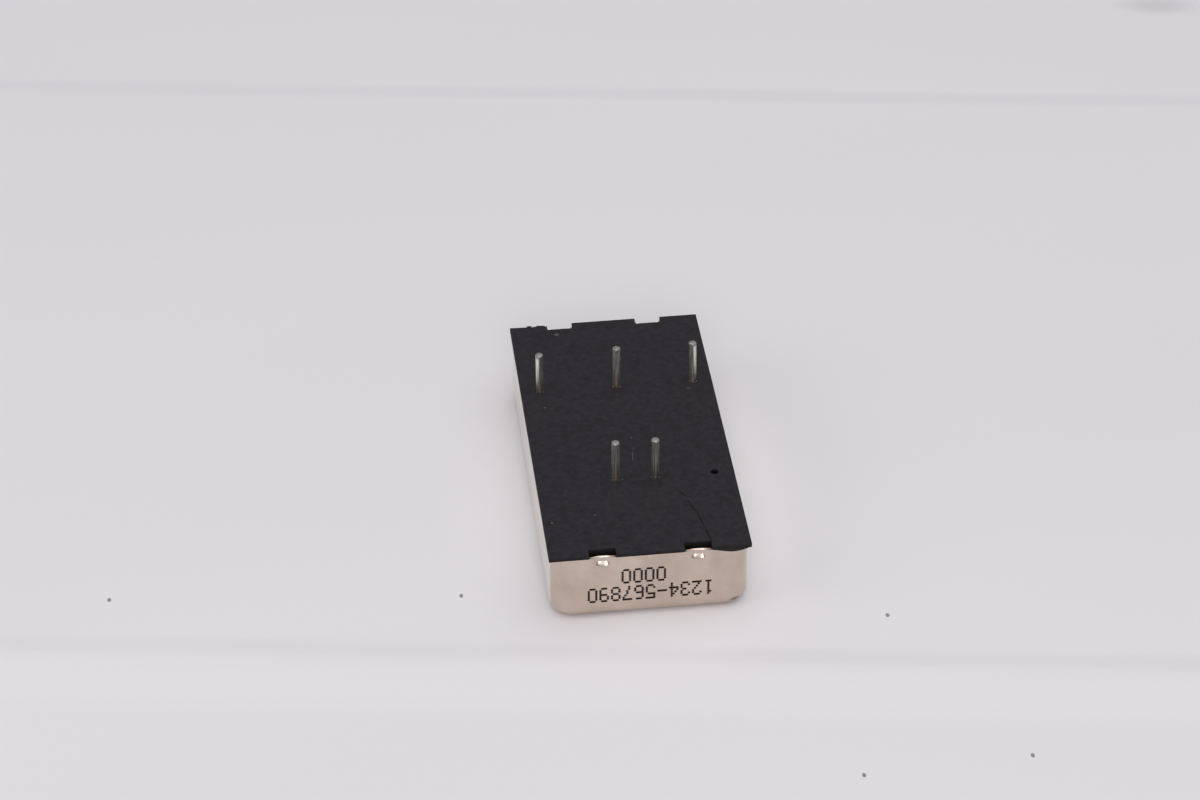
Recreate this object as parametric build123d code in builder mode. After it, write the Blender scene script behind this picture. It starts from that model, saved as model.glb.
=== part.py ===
from build123d import *
import os

os.makedirs("parts", exist_ok=True)

# A potted, isolated power converter module for a circuit board, lying on its roof
# with its pins up. Millimetres. The origin is the centre of the metal case's flat
# roof, +Z points out along the pins, and +Y runs along the long side towards the
# three output pins. The input pins and the unused control-pin hole are at -Y.

# Outside of the module
length = 50.8
width = 25.4
seating_height = 10.16  # roof to the outer face of the base plate
pin_grid = 2.54

# Metal case: a drawn can, open on the pin side
flange_thickness = 0.6
rim_height = seating_height - flange_thickness
case_wall = 0.5
roof_edge_radius = 1.8
upright_edge_radius = 3.0
inner_width = width - 2 * case_wall
inner_length = length - 2 * case_wall

# Latch dents: the end walls are pressed in over the base plate's ledges
latch_x = 6.0
latch_width = 1.9
latch_height = 1.2
latch_drop = 0.9  # rim to the middle of a dent
latch_depth = 0.4
latch_corner = 0.5
latch_taper = 20
bulge_width = latch_width + 0.6  # the same dent on the inside of the wall
bulge_height = latch_height + 0.5

# Base plate: a flange over the rim, a plug inside it and a skirt down to the board
plate_underside = 8.96
plug_gap = 0.1
plug_width = inner_width - 2 * plug_gap
plug_length = inner_length - 2 * plug_gap
plug_corner = upright_edge_radius - case_wall - plug_gap
skirt_side = 1.0
skirt_end = 1.2
skirt_inner_corner = plug_corner - skirt_side
skirt_inner_width = plug_width - 2 * skirt_side
skirt_inner_length = plug_length - 2 * skirt_end
notch_width = 3.4
notch_depth = 1.2
ledge_top = 7.75
pin_hole_radius = 0.6
control_hole_radius = 0.55

# Circuit board
board_top = 7.0  # the face towards the pins
board_thickness = 1.0
board_bottom = board_top - board_thickness
board_width = 23.6
board_length = 49.0
board_corner = 2.0
board_hole_radius = 0.45

# Pins
pin_radius = 0.5
pin_exposed = 5.9  # base plate to the tip
pin_top = seating_height + pin_exposed
pin_tip_radius = 0.3
pin_recess = 0.1  # the round stretch starts this far below the plate's face
knurl_radius = 0.56
knurl_sides = 12
shoulder_radius = 0.7
tail_radius = 0.34
tail_end = 5.3
tail_length = board_bottom - tail_end
solder_radius = 1.0
solder_edge = 0.05
solder_curve = 0.75

output_row = 4 * pin_grid
input_row = -4 * pin_grid
pin_places = {
    "output_pin_positive": (-4 * pin_grid, output_row),
    "output_pin_common": (0, output_row),
    "output_pin_negative": (4 * pin_grid, output_row),
    "input_pin_positive": (-pin_grid, input_row),
    "input_pin_negative": (pin_grid, input_row),
}
control_hole = (4 * pin_grid, input_row)

# Insulating liner
liner_thickness = 0.2
liner_top = 5.6

# Transformer: two core halves round a bobbin, its axis along Z
core_length = 14.0
core_width = 7.6
core_height = 4.9
core_back = 1.0
core_window_radius = 5.6
core_post_radius = 2.5
transformer_z = 3.4
bobbin_height = 2.8
bobbin_bore_radius = 2.6
bobbin_tube_radius = 2.9
bobbin_flange_radius = 5.3
bobbin_flange = 0.3
bobbin_tab_width = 7.8
rail_length = 10.0
rail_width = 1.2
rail_y = 6.0
rail_low = 3.6
rail_high = 5.8
terminal_metal = 0.2
terminal_width = 0.6
terminal_foot = 1.6
terminal_lift = 0.6  # the rail's lower edge to the end of a terminal
transformer_terminal_x = (-3.75, -1.25, 1.25, 3.75)
primary_wire = 0.4
secondary_wire = 0.55
tape_thickness = 0.12

# Small parts
lead_metal = 0.2
body_standoff = 0.1
case_side = -1
pin_side = 1

# Chips: length, width, height and the length of each metal end cap
chip_1210 = (3.2, 2.5, 2.4, 0.5)
chip_1808 = (4.5, 2.0, 1.9, 0.5)
chip_1206 = (3.2, 1.6, 0.6, 0.5)
chip_0805 = (2.0, 1.25, 0.9, 0.35)
chip_0603 = (1.6, 0.8, 0.45, 0.3)
chip_relief = 0.05  # how far the end caps stand proud of the body

# Places on the board: x, y and the turn in degrees
input_capacitor_places = [(-9.6, -9.6, 90), (-6.0, -10.0, 90), (6.0, -10.0, 90)]
output_capacitor_places = [(0, 14.6, 90), (0, 18.6, 90), (-9.6, 22.4, 0), (9.6, 22.4, 0)]
safety_capacitor_places = [(9.6, 0, 90)]
sense_resistor_places = [(5.4, -21.6, 0)]
resistor_places = [
    (-9.6, -13.2, 90), (-9.6, -16.4, 90), (-9.6, -19.6, 90), (0.6, -14.0, 0),
    (0.6, -16.0, 0), (0.6, -18.0, 0), (2.4, 4.2, 90), (8.6, 4.6, 90),
    (8.6, 8.0, 0), (3.6, 13.8, 0), (-3.6, 13.8, 0), (-7.4, 17.0, 90),
]
capacitor_places = [
    (5.6, -14.6, 0), (5.6, -17.4, 0), (-1.4, -20.8, 90), (-5.4, 4.6, 90),
    (-3.0, 4.6, 90), (4.4, 18.4, 0), (-2.0, 18.4, 0),
]
switch_transistor_place = (5.4, -16.2)
controller_place = (-5.6, -16.4)
optocoupler_place = (-9.5, 0)
reference_place = (5.6, 5.2)
rectifier_places = [(-5.2, output_row), (5.2, output_row)]
clamp_diode_place = (9.9, -15.0)
input_choke_places = [(-6.4, -17.4)]
output_choke_places = [(-6.4, 17.6), (6.4, 17.6)]
input_choke_radius = 4.2
output_choke_radius = 3.9
choke_height = 4.4
choke_flange = 0.8
choke_post_share = 0.5
choke_wire = 0.5
choke_pad = 0.15
choke_pad_place = 0.65  # shares of the choke's radius
choke_pad_long = 0.9
choke_pad_wide = 0.4
isolation_slot = (3.2, 1.0)


def rounded_block(block_width, block_length, bottom, top, roof_radius, upright_radius):
    """A block with a rounded lower edge all round and rounded upright edges."""
    with BuildPart() as block:
        with BuildSketch(Plane.XY.offset(bottom)):
            Rectangle(block_width, block_length)
        extrude(amount=top - bottom)
        fillet(block.edges().filter_by(Axis.Z), upright_radius)
        fillet(block.faces().sort_by(Axis.Z)[0].edges(), roof_radius)
    return block.part


def inside_block(inset, top):
    """The case's inside, made smaller by an inset, from its floor up to a height."""
    shrink = case_wall + inset
    return rounded_block(
        width - 2 * shrink,
        length - 2 * shrink,
        shrink,
        top,
        roof_edge_radius - shrink,
        upright_edge_radius - shrink,
    )


def board_face(side):
    """Height of the board's face on one side."""
    return board_top if side > 0 else board_bottom


# --- Case, base plate, liner and board -------------------------------------------

case_outside = rounded_block(
    width, length, 0, rim_height, roof_edge_radius, upright_edge_radius
)
case_inside = inside_block(0, rim_height)
latch_ends = [
    Plane(origin=(0, end * length / 2, rim_height - latch_drop), x_dir=(1, 0, 0), z_dir=(0, -end, 0))
    for end in (-1, 1)
]
latch_spots = [(-latch_x, 0), (latch_x, 0)]

with BuildPart() as metal_case:
    add(case_outside)
    add(case_inside, mode=Mode.SUBTRACT)
    for end_wall in latch_ends:
        # each dent shows as a bulge on the inside of the wall
        with BuildSketch(end_wall.offset(case_wall)):
            with Locations(*latch_spots):
                RectangleRounded(bulge_width, bulge_height, latch_corner)
        extrude(amount=latch_depth, taper=latch_taper)
        with BuildSketch(end_wall):
            with Locations(*latch_spots):
                RectangleRounded(latch_width, latch_height, latch_corner)
        extrude(amount=latch_depth, taper=latch_taper, mode=Mode.SUBTRACT)
metal_case.part.label = "metal_case"
export_step(metal_case.part, "parts/metal_case.step")

with BuildPart() as base_plate:
    with BuildSketch(Plane.XY.offset(rim_height)):
        Rectangle(width, length)
    extrude(amount=flange_thickness)
    with BuildSketch(Plane.XY.offset(board_top)):
        RectangleRounded(plug_width, plug_length, plug_corner)
    extrude(amount=rim_height - board_top)
    with BuildSketch(Plane.XY.offset(board_top)):
        RectangleRounded(skirt_inner_width, skirt_inner_length, skirt_inner_corner)
    extrude(amount=plate_underside - board_top, mode=Mode.SUBTRACT)
    with BuildSketch(Plane.XY.offset(ledge_top)):
        with Locations(*[(x, y) for x in (-latch_x, latch_x) for y in (-length / 2, length / 2)]):
            Rectangle(notch_width, 2 * notch_depth)
    extrude(amount=seating_height - ledge_top, mode=Mode.SUBTRACT)
    with BuildSketch(Plane.XY.offset(plate_underside)):
        with Locations(*pin_places.values()):
            Circle(pin_hole_radius)
        with Locations(control_hole):
            Circle(control_hole_radius)
    extrude(amount=seating_height - plate_underside, mode=Mode.SUBTRACT)
base_plate.part.label = "base_plate"
export_step(base_plate.part, "parts/base_plate.step")

liner_outside = inside_block(0, liner_top)
liner_inside = inside_block(liner_thickness, liner_top)
with BuildPart() as insulating_liner:
    add(liner_outside)
    add(liner_inside, mode=Mode.SUBTRACT)
insulating_liner.part.label = "insulating_liner"
export_step(insulating_liner.part, "parts/insulating_liner.step")

with BuildPart() as circuit_board:
    with BuildSketch(Plane.XY.offset(board_bottom)):
        RectangleRounded(board_width, board_length, board_corner)
        with Locations(*pin_places.values(), control_hole):
            Circle(board_hole_radius, mode=Mode.SUBTRACT)
        with Locations(optocoupler_place):
            SlotOverall(*isolation_slot, mode=Mode.SUBTRACT)
    extrude(amount=board_thickness)
circuit_board.part.label = "circuit_board"
export_step(circuit_board.part, "parts/circuit_board.step")


# --- Pins and their solder --------------------------------------------------------


def board_pin(place):
    """A turned pin: tail in the board, shoulder, knurl in the plate, round end."""
    stretches = [
        (tail_end, board_top, tail_radius),
        (board_top, plate_underside, shoulder_radius),
        (seating_height - pin_recess, pin_top, pin_radius),
    ]
    with BuildPart() as pin:
        for low, high, radius in stretches:
            with BuildSketch(Plane.XY.offset(low)):
                with Locations(place):
                    Circle(radius)
            extrude(amount=high - low)
        with BuildSketch(Plane.XY.offset(plate_underside)):
            with Locations(place):
                RegularPolygon(knurl_radius, knurl_sides)
        extrude(amount=seating_height - pin_recess - plate_underside)
        fillet(pin.edges().sort_by(Axis.Z)[-1], pin_tip_radius)
    return pin


pins = {}
for pin_name, place in pin_places.items():
    pin = board_pin(place)
    pin.part.label = pin_name
    export_step(pin.part, f"parts/{pin_name}.step")
    pins[pin_name] = pin.part

with BuildPart() as pin_solder_joints:
    for place in pin_places.values():
        with BuildSketch(Plane.XY.offset(board_bottom)):
            with Locations(place):
                Circle(board_hole_radius)
                Circle(tail_radius, mode=Mode.SUBTRACT)
        extrude(amount=board_thickness)
        joint_plane = Plane(origin=(*place, board_bottom), x_dir=(1, 0, 0), z_dir=(0, -1, 0))
        with BuildSketch(joint_plane):
            with BuildLine():
                Line((tail_radius, 0), (solder_radius, 0))
                Line((solder_radius, 0), (solder_radius, -solder_edge))
                RadiusArc((solder_radius, -solder_edge), (tail_radius, -tail_length), solder_curve)
                Line((tail_radius, -tail_length), (tail_radius, 0))
            make_face()
        revolve(axis=Axis((*place, 0), (0, 0, 1)))
pin_solder_joints.part.label = "pin_solder_joints"
export_step(pin_solder_joints.part, "parts/pin_solder_joints.step")


# --- Transformer ------------------------------------------------------------------


def core_half(side):
    """One ferrite half: a flat back, two end legs and a round middle post."""
    back = transformer_z + side * core_height / 2
    with BuildPart() as half:
        with BuildSketch(Plane.XY.offset(transformer_z)):
            Rectangle(core_length, core_width)
            Circle(core_window_radius, mode=Mode.SUBTRACT)
            Circle(core_post_radius)
        extrude(amount=side * core_height / 2)
        with BuildSketch(Plane.XY.offset(back)):
            Rectangle(core_length, core_width)
        extrude(amount=-side * core_back)
    return half


transformer_core_upper = core_half(1)
transformer_core_upper.part.label = "transformer_core_upper"
export_step(transformer_core_upper.part, "parts/transformer_core_upper.step")

transformer_core_lower = core_half(-1)
transformer_core_lower.part.label = "transformer_core_lower"
export_step(transformer_core_lower.part, "parts/transformer_core_lower.step")

bobbin_low = transformer_z - bobbin_height / 2
bobbin_high = transformer_z + bobbin_height / 2

with BuildPart() as transformer_bobbin:
    with BuildSketch(Plane.XY.offset(bobbin_low)):
        Circle(bobbin_tube_radius)
    extrude(amount=bobbin_height)
    for flange_low in (bobbin_low, bobbin_high - bobbin_flange):
        with BuildSketch(Plane.XY.offset(flange_low)):
            Circle(bobbin_flange_radius)
        extrude(amount=bobbin_flange)
    with BuildSketch(Plane.XY.offset(bobbin_high - bobbin_flange)):
        Rectangle(bobbin_tab_width, 2 * rail_y + rail_width)
    extrude(amount=bobbin_flange)
    with BuildSketch(Plane.XY.offset(rail_low)):
        with Locations((0, -rail_y), (0, rail_y)):
            Rectangle(rail_length, rail_width)
    extrude(amount=rail_high - rail_low)
    with BuildSketch(Plane.XY.offset(bobbin_low)):
        Circle(bobbin_bore_radius)
    extrude(amount=bobbin_height, mode=Mode.SUBTRACT)
transformer_bobbin.part.label = "transformer_bobbin"
export_step(transformer_bobbin.part, "parts/transformer_bobbin.step")

with BuildPart() as transformer_terminals:
    for end in (-1, 1):
        outer_face = end * (rail_y + rail_width / 2)
        strip_low = rail_low + terminal_lift
        strip_high = rail_high + terminal_metal
        for x in transformer_terminal_x:
            with Locations((x, outer_face, rail_high + terminal_metal / 2)):
                Box(terminal_width, terminal_foot, terminal_metal)
            with Locations((x, outer_face + end * terminal_metal / 2, (strip_low + strip_high) / 2)):
                Box(terminal_width, terminal_metal, strip_high - strip_low)
transformer_terminals.part.label = "transformer_terminals"
export_step(transformer_terminals.part, "parts/transformer_terminals.step")


def add_winding(inner_radius, wire, low, high, place=(0, 0)):
    """Turns of round wire side by side on a former, filled in between."""
    turns = int((high - low) / wire)
    middle = (low + high) / 2
    profile_plane = Plane(origin=(*place, middle), x_dir=(1, 0, 0), z_dir=(0, -1, 0))
    with BuildSketch(profile_plane) as profile:
        with Locations((inner_radius + wire / 4, 0)):
            Rectangle(wire / 2, turns * wire)
        with Locations((inner_radius + wire / 2, 0)):
            with GridLocations(0, wire, 1, turns):
                Circle(wire / 2)
    revolve(profile.sketch, axis=Axis((*place, 0), (0, 0, 1)))


winding_low = bobbin_low + bobbin_flange
winding_high = bobbin_high - bobbin_flange
secondary_radius = bobbin_tube_radius + 2 * primary_wire

with BuildPart() as transformer_primary_winding:
    add_winding(bobbin_tube_radius, primary_wire, winding_low, winding_high)
    add_winding(bobbin_tube_radius + primary_wire, primary_wire, winding_low, winding_high)
transformer_primary_winding.part.label = "transformer_primary_winding"
export_step(transformer_primary_winding.part, "parts/transformer_primary_winding.step")

with BuildPart() as transformer_secondary_winding:
    add_winding(secondary_radius, secondary_wire, winding_low, winding_high)
transformer_secondary_winding.part.label = "transformer_secondary_winding"
export_step(transformer_secondary_winding.part, "parts/transformer_secondary_winding.step")

tape_radius = secondary_radius + secondary_wire
with BuildPart() as transformer_tape:
    with BuildSketch(Plane.XY.offset(winding_low)):
        Circle(tape_radius + tape_thickness)
        Circle(tape_radius, mode=Mode.SUBTRACT)
    extrude(amount=winding_high - winding_low)
transformer_tape.part.label = "transformer_tape"
export_step(transformer_tape.part, "parts/transformer_tape.step")


# --- Drum chokes ------------------------------------------------------------------

choke_top = board_bottom - choke_pad
choke_bottom = choke_top - choke_height


def drum_cores(places, radius):
    """Ferrite drums: a post between two round flanges."""
    with BuildPart() as drums:
        for low, high, reach in (
            (choke_bottom, choke_top, choke_post_share),
            (choke_bottom, choke_bottom + choke_flange, 1),
            (choke_top - choke_flange, choke_top, 1),
        ):
            with BuildSketch(Plane.XY.offset(low)):
                with Locations(*places):
                    Circle(radius * reach)
            extrude(amount=high - low)
    return drums


def drum_windings(places, radius):
    """The chokes' turns between the flanges, in two layers."""
    inner = radius * choke_post_share
    low = choke_bottom + choke_flange
    high = choke_top - choke_flange
    with BuildPart() as turns:
        for place in places:
            add_winding(inner, choke_wire, low, high, place)
            add_winding(inner + choke_wire, choke_wire, low, high, place)
    return turns


def drum_terminals(places, radius):
    """Two flat metal pads under each drum, on the board."""
    with BuildPart() as pads:
        with BuildSketch(Plane.XY.offset(choke_top)):
            for x, y in places:
                pad_offset = radius * choke_pad_place
                with Locations((x, y - pad_offset), (x, y + pad_offset)):
                    Rectangle(radius * choke_pad_long, radius * choke_pad_wide)
        extrude(amount=choke_pad)
    return pads


input_choke_core = drum_cores(input_choke_places, input_choke_radius)
input_choke_core.part.label = "input_choke_core"
export_step(input_choke_core.part, "parts/input_choke_core.step")

input_choke_winding = drum_windings(input_choke_places, input_choke_radius)
input_choke_winding.part.label = "input_choke_winding"
export_step(input_choke_winding.part, "parts/input_choke_winding.step")

input_choke_terminals = drum_terminals(input_choke_places, input_choke_radius)
input_choke_terminals.part.label = "input_choke_terminals"
export_step(input_choke_terminals.part, "parts/input_choke_terminals.step")

output_choke_cores = drum_cores(output_choke_places, output_choke_radius)
output_choke_cores.part.label = "output_choke_cores"
export_step(output_choke_cores.part, "parts/output_choke_cores.step")

output_choke_windings = drum_windings(output_choke_places, output_choke_radius)
output_choke_windings.part.label = "output_choke_windings"
export_step(output_choke_windings.part, "parts/output_choke_windings.step")

output_choke_terminals = drum_terminals(output_choke_places, output_choke_radius)
output_choke_terminals.part.label = "output_choke_terminals"
export_step(output_choke_terminals.part, "parts/output_choke_terminals.step")


# --- Moulded semiconductors -------------------------------------------------------

# body length, width and height, lead reach past the body, lead width and pitch
small_outline_8 = (4.9, 3.9, 1.5, 1.05, 0.42, 1.27, 4)
opto_outline = (3.6, 4.4, 1.85, 1.3, 0.4, 2.54, 2)
power_diode = (4.3, 3.6, 2.1, 0.75, 2.0)
small_diode = (2.7, 1.6, 1.1, 0.5, 0.6)
three_lead = (2.9, 1.3, 1.0, 0.55, 0.42)
three_lead_offset = 0.95
power_lead_rise = 1.2  # board to the top of a lead where it leaves the body
small_lead_rise = 0.7
lead_knee = 0.45  # share of a lead's reach that stays up
body_chamfer = 0.15
dot_inset = 0.7
dot_radius = 0.3
dot_depth = 0.08


def add_body(place, size, side, turn=0):
    """A moulded body, with bevelled edges, just clear of the board."""
    body_length, body_width, body_height = size
    middle = board_face(side) + side * (body_standoff + body_height / 2)
    with Locations(Location((*place, middle), (0, 0, turn))):
        Box(body_length, body_width, body_height)


def add_lead(start, outward, side, reach, rise, lead_width):
    """One lead: out of the body's side, down to the board and out along it."""
    heading = Vector(*outward, 0)
    knee = reach * lead_knee
    lead_plane = Plane(
        origin=(*start, board_face(side)),
        x_dir=heading,
        z_dir=heading.cross(Vector(0, 0, side)),
    )
    with BuildSketch(lead_plane) as profile:
        with BuildLine():
            Polyline(
                (0, rise - lead_metal),
                (knee - lead_metal, rise - lead_metal),
                (knee - lead_metal, 0),
                (reach, 0),
                (reach, lead_metal),
                (knee, lead_metal),
                (knee, rise),
                (0, rise),
                close=True,
            )
        make_face()
    extrude(profile.sketch, amount=lead_width / 2, both=True)


def package_body(place, outline, side):
    """A body with a round pin-one mark in one corner of its top."""
    body_length, body_width, body_height = outline[:3]
    top = board_face(side) + side * (body_standoff + body_height)
    with BuildPart() as body:
        add_body(place, outline[:3], side)
        chamfer(body.edges(), body_chamfer)
        with BuildSketch(Plane.XY.offset(top)):
            with Locations((place[0] - body_length / 2 + dot_inset, place[1] - body_width / 2 + dot_inset)):
                Circle(dot_radius)
        extrude(amount=-side * dot_depth, mode=Mode.SUBTRACT)
    return body


def package_leads(place, outline, side):
    """Two rows of leads, at the body's two long sides."""
    body_length, body_width, body_height, reach, lead_width, pitch, count = outline
    rise = body_standoff + body_height / 2 + lead_metal / 2
    with BuildPart() as leads:
        for end in (-1, 1):
            for index in range(count):
                x = place[0] + (index - (count - 1) / 2) * pitch
                y = place[1] + end * body_width / 2
                add_lead((x, y), (0, end), side, reach, rise, lead_width)
    return leads


def diode_body(places, size, side, turn=0):
    """Plain moulded blocks with bevelled edges."""
    with BuildPart() as body:
        for place in places:
            add_body(place, size[:3], side, turn)
        chamfer(body.edges(), body_chamfer)
    return body


switch_transistor_body = package_body(switch_transistor_place, small_outline_8, case_side)
switch_transistor_body.part.label = "switch_transistor_body"
export_step(switch_transistor_body.part, "parts/switch_transistor_body.step")

switch_transistor_leads = package_leads(switch_transistor_place, small_outline_8, case_side)
switch_transistor_leads.part.label = "switch_transistor_leads"
export_step(switch_transistor_leads.part, "parts/switch_transistor_leads.step")

controller_body = package_body(controller_place, small_outline_8, pin_side)
controller_body.part.label = "controller_body"
export_step(controller_body.part, "parts/controller_body.step")

controller_leads = package_leads(controller_place, small_outline_8, pin_side)
controller_leads.part.label = "controller_leads"
export_step(controller_leads.part, "parts/controller_leads.step")

optocoupler_body = package_body(optocoupler_place, opto_outline, case_side)
optocoupler_body.part.label = "optocoupler_body"
export_step(optocoupler_body.part, "parts/optocoupler_body.step")

optocoupler_leads = package_leads(optocoupler_place, opto_outline, case_side)
optocoupler_leads.part.label = "optocoupler_leads"
export_step(optocoupler_leads.part, "parts/optocoupler_leads.step")

rectifier_bodies = diode_body(rectifier_places, power_diode, case_side)
rectifier_bodies.part.label = "rectifier_bodies"
export_step(rectifier_bodies.part, "parts/rectifier_bodies.step")

with BuildPart() as rectifier_leads:
    for x, y in rectifier_places:
        for end in (-1, 1):
            lead_start = (x + end * power_diode[0] / 2, y)
            add_lead(lead_start, (end, 0), case_side, power_diode[3], power_lead_rise, power_diode[4])
rectifier_leads.part.label = "rectifier_leads"
export_step(rectifier_leads.part, "parts/rectifier_leads.step")

clamp_diode_body = diode_body([clamp_diode_place], small_diode, case_side, 90)
clamp_diode_body.part.label = "clamp_diode_body"
export_step(clamp_diode_body.part, "parts/clamp_diode_body.step")

with BuildPart() as clamp_diode_leads:
    for end in (-1, 1):
        lead_start = (clamp_diode_place[0], clamp_diode_place[1] + end * small_diode[0] / 2)
        add_lead(lead_start, (0, end), case_side, small_diode[3], small_lead_rise, small_diode[4])
clamp_diode_leads.part.label = "clamp_diode_leads"
export_step(clamp_diode_leads.part, "parts/clamp_diode_leads.step")

voltage_reference_body = diode_body([reference_place], three_lead, pin_side)
voltage_reference_body.part.label = "voltage_reference_body"
export_step(voltage_reference_body.part, "parts/voltage_reference_body.step")

with BuildPart() as voltage_reference_leads:
    x, y = reference_place
    for lead_x, end in ((x - three_lead_offset, -1), (x + three_lead_offset, -1), (x, 1)):
        lead_start = (lead_x, y + end * three_lead[1] / 2)
        add_lead(lead_start, (0, end), pin_side, three_lead[3], small_lead_rise, three_lead[4])
voltage_reference_leads.part.label = "voltage_reference_leads"
export_step(voltage_reference_leads.part, "parts/voltage_reference_leads.step")


# --- Chip parts -------------------------------------------------------------------


def chip_bodies(places, size, side):
    """The blocks between the metal ends."""
    chip_length, chip_width, chip_height, cap = size
    middle = board_face(side) + side * chip_height / 2
    with BuildPart() as bodies:
        for x, y, turn in places:
            with Locations(Location((x, y, middle), (0, 0, turn))):
                Box(
                    chip_length - 2 * cap,
                    chip_width - 2 * chip_relief,
                    chip_height - 2 * chip_relief,
                )
    return bodies


def chip_caps(places, size, side):
    """The metal ends, which stand on the board."""
    chip_length, chip_width, chip_height, cap = size
    middle = board_face(side) + side * chip_height / 2
    offset_x = (chip_length - cap) / 2
    with BuildPart() as caps:
        for x, y, turn in places:
            with Locations(Location((x, y, middle), (0, 0, turn))):
                with Locations((-offset_x, 0, 0), (offset_x, 0, 0)):
                    Box(cap, chip_width, chip_height)
    return caps


input_capacitor_bodies = chip_bodies(input_capacitor_places, chip_1210, case_side)
input_capacitor_bodies.part.label = "input_capacitor_bodies"
export_step(input_capacitor_bodies.part, "parts/input_capacitor_bodies.step")

input_capacitor_ends = chip_caps(input_capacitor_places, chip_1210, case_side)
input_capacitor_ends.part.label = "input_capacitor_ends"
export_step(input_capacitor_ends.part, "parts/input_capacitor_ends.step")

output_capacitor_bodies = chip_bodies(output_capacitor_places, chip_1210, case_side)
output_capacitor_bodies.part.label = "output_capacitor_bodies"
export_step(output_capacitor_bodies.part, "parts/output_capacitor_bodies.step")

output_capacitor_ends = chip_caps(output_capacitor_places, chip_1210, case_side)
output_capacitor_ends.part.label = "output_capacitor_ends"
export_step(output_capacitor_ends.part, "parts/output_capacitor_ends.step")

safety_capacitor_body = chip_bodies(safety_capacitor_places, chip_1808, case_side)
safety_capacitor_body.part.label = "safety_capacitor_body"
export_step(safety_capacitor_body.part, "parts/safety_capacitor_body.step")

safety_capacitor_ends = chip_caps(safety_capacitor_places, chip_1808, case_side)
safety_capacitor_ends.part.label = "safety_capacitor_ends"
export_step(safety_capacitor_ends.part, "parts/safety_capacitor_ends.step")

sense_resistor_body = chip_bodies(sense_resistor_places, chip_1206, case_side)
sense_resistor_body.part.label = "sense_resistor_body"
export_step(sense_resistor_body.part, "parts/sense_resistor_body.step")

sense_resistor_ends = chip_caps(sense_resistor_places, chip_1206, case_side)
sense_resistor_ends.part.label = "sense_resistor_ends"
export_step(sense_resistor_ends.part, "parts/sense_resistor_ends.step")

chip_resistor_bodies = chip_bodies(resistor_places, chip_0603, pin_side)
chip_resistor_bodies.part.label = "chip_resistor_bodies"
export_step(chip_resistor_bodies.part, "parts/chip_resistor_bodies.step")

chip_resistor_ends = chip_caps(resistor_places, chip_0603, pin_side)
chip_resistor_ends.part.label = "chip_resistor_ends"
export_step(chip_resistor_ends.part, "parts/chip_resistor_ends.step")

chip_capacitor_bodies = chip_bodies(capacitor_places, chip_0805, pin_side)
chip_capacitor_bodies.part.label = "chip_capacitor_bodies"
export_step(chip_capacitor_bodies.part, "parts/chip_capacitor_bodies.step")

chip_capacitor_ends = chip_caps(capacitor_places, chip_0805, pin_side)
chip_capacitor_ends.part.label = "chip_capacitor_ends"
export_step(chip_capacitor_ends.part, "parts/chip_capacitor_ends.step")


# --- Potting compound: it fills every space that is left ---------------------------

buried_pieces = [
    insulating_liner,
    circuit_board,
    pin_solder_joints,
    transformer_core_upper,
    transformer_core_lower,
    transformer_bobbin,
    transformer_terminals,
    transformer_primary_winding,
    transformer_secondary_winding,
    transformer_tape,
    input_choke_core,
    input_choke_winding,
    input_choke_terminals,
    output_choke_cores,
    output_choke_windings,
    output_choke_terminals,
    switch_transistor_body,
    switch_transistor_leads,
    controller_body,
    controller_leads,
    optocoupler_body,
    optocoupler_leads,
    rectifier_bodies,
    rectifier_leads,
    clamp_diode_body,
    clamp_diode_leads,
    voltage_reference_body,
    voltage_reference_leads,
    input_capacitor_bodies,
    input_capacitor_ends,
    output_capacitor_bodies,
    output_capacitor_ends,
    safety_capacitor_body,
    safety_capacitor_ends,
    sense_resistor_body,
    sense_resistor_ends,
    chip_resistor_bodies,
    chip_resistor_ends,
    chip_capacitor_bodies,
    chip_capacitor_ends,
]
fill_outside = inside_block(0, board_top)

with BuildPart() as fill:
    add(fill_outside)
    with BuildSketch(Plane.XY.offset(board_top)):
        RectangleRounded(skirt_inner_width, skirt_inner_length, skirt_inner_corner)
    extrude(amount=plate_underside - board_top)
    add([piece.part for piece in buried_pieces], mode=Mode.SUBTRACT)
    add(list(pins.values()), mode=Mode.SUBTRACT)

# the thin hollows shut in between turns of wire stay empty
with BuildPart() as potting_compound:
    add(fill.solids().sort_by(SortBy.VOLUME)[-1])
potting_compound.part.label = "potting_compound"
export_step(potting_compound.part, "parts/potting_compound.step")

left_out = fill.part.volume - potting_compound.part.volume
print("potting", round(potting_compound.part.volume, 1), "mm3, left out", round(left_out, 1), "mm3")
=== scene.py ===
# %% [markdown]
# # A potted power converter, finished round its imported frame
#
# The real object is a small electronic module that is soldered to a circuit board. A thin metal case, drawn
# from one sheet like a baking tin, is filled with electronics and black resin, and a flat black plastic plate
# closes it. Five round pins come out through the plate. Here it lies on its roof with the pins up.
#
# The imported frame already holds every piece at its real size. This lesson loads it, builds finer versions of
# what can be seen (the case, the plate and the pins), prints a line of dots on the case, and gives every
# piece inside a finish of its own.

# %% Load the frame
import math

import bpy
from mathutils import Matrix, Vector


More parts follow.
